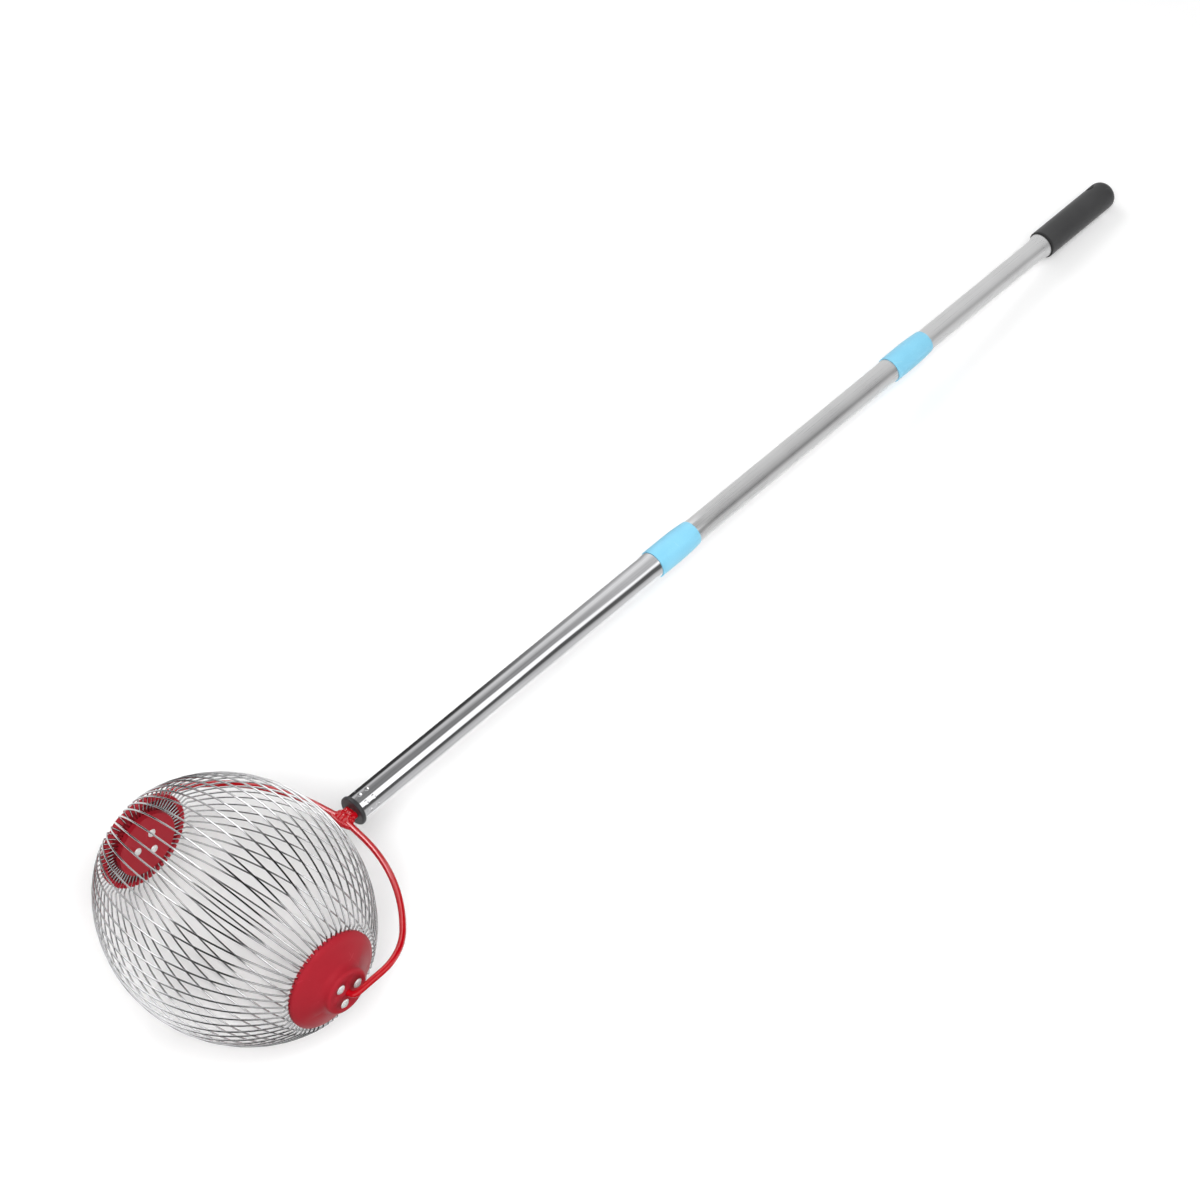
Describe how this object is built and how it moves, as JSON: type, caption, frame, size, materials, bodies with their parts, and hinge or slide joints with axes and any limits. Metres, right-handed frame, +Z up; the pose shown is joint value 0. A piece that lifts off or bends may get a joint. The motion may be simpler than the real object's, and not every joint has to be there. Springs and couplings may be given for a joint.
{
  "type": "rolling nut gatherer",
  "caption": "Rolling nut gatherer: a ball of bowed wires with red end caps turns in a red rod yoke on a telescopic twist-lock pole with a grey grip.",
  "frame": {"origin": "on the floor, under the middle of the bounding box, with the tool lying at rest on its cage and the end of its grip", "axes": "+X along the pole towards the grip, level; +Y along the cage axis towards the cap at the left of the picture; +Z up"},
  "size_m": [1.3174, 0.2882, 0.2196],
  "materials": {
    "cage_wire": "bright drawn spring wire",
    "cap_red": "moulded, fine satin grain",
    "rivet_metal": "bright domed heads",
    "yoke_red": "glossy powder coat over welded steel rod",
    "nut_steel": "plain zinc",
    "bush_black": "smooth black moulding",
    "tube_bright": "bright plated tube with crimp dimples",
    "tube_satin": "satin drawn tube",
    "collar_blue": "semi-gloss pale blue moulding",
    "lock_plastic": "natural nylon",
    "grip_rubber": "matte dark grey, slightly pebbled"
  },
  "bodies": {
    "handle": {"left_yoke_arm": "yoke_red", "right_yoke_arm": "yoke_red", "yoke_weld": "yoke_red", "left_push_nut": "nut_steel", "right_push_nut": "nut_steel", "pole_end_bush": "bush_black", "lower_tube": "tube_bright", "lower_collar": "collar_blue"},
    "cage": {"cage_wires_a": "cage_wire", "cage_wires_b": "cage_wire", "left_end_cap": "cap_red", "right_end_cap": "cap_red", "left_wire_retainer": "cap_red", "right_wire_retainer": "cap_red", "left_cap_rivets": "rivet_metal", "right_cap_rivets": "rivet_metal"},
    "middle_carriage": {"lower_lock_sleeve": "lock_plastic"},
    "middle_section": {"middle_tube": "tube_satin", "lower_lock_plug": "lock_plastic", "upper_collar": "collar_blue"},
    "middle_cone": {"lower_lock_cone": "lock_plastic"},
    "upper_carriage": {"upper_lock_sleeve": "lock_plastic"},
    "upper_section": {"upper_tube": "tube_satin", "upper_lock_plug": "lock_plastic", "hand_grip": "grip_rubber"},
    "upper_cone": {"upper_lock_cone": "lock_plastic"}
  },
  "joints": [
    {"name": "cage_spin", "type": "hinge", "parent": "handle", "child": "cage", "pos_m": [-0.54873, 0, 0.10984], "axis": [0, 1, 0], "continuous": true},
    {"name": "middle_slide", "type": "slide", "parent": "handle", "child": "middle_carriage", "axis": [0.9968, 0, -0.0796], "range_m": [-0.265, 0]},
    {"name": "middle_twist", "type": "hinge", "parent": "middle_carriage", "child": "middle_section", "pos_m": [-0.06227, 0, 0.07098], "axis": [0.9968, 0, -0.0796], "range_deg": [0, 270]},
    {"name": "middle_cone_travel", "type": "slide", "parent": "middle_carriage", "child": "middle_cone", "axis": [0.9968, 0, -0.0796], "range_m": [-0.0016, 0.0001]},
    {"name": "upper_slide", "type": "slide", "parent": "middle_section", "child": "upper_carriage", "axis": [0.9968, 0, -0.0796], "range_m": [-0.174, 0]},
    {"name": "upper_twist", "type": "hinge", "parent": "upper_carriage", "child": "upper_section", "pos_m": [0.27664, 0, 0.04391], "axis": [0.9968, 0, -0.0796], "range_deg": [0, 270]},
    {"name": "upper_cone_travel", "type": "slide", "parent": "upper_carriage", "child": "upper_cone", "axis": [0.9968, 0, -0.0796], "range_m": [-0.0016, 0.0001]}
  ],
  "couplings": [
    {"joint": "middle_cone_travel", "follows": "middle_twist", "m_per_rad": -0.00031831},
    {"joint": "upper_cone_travel", "follows": "upper_twist", "m_per_rad": -0.00031831}
  ]
}
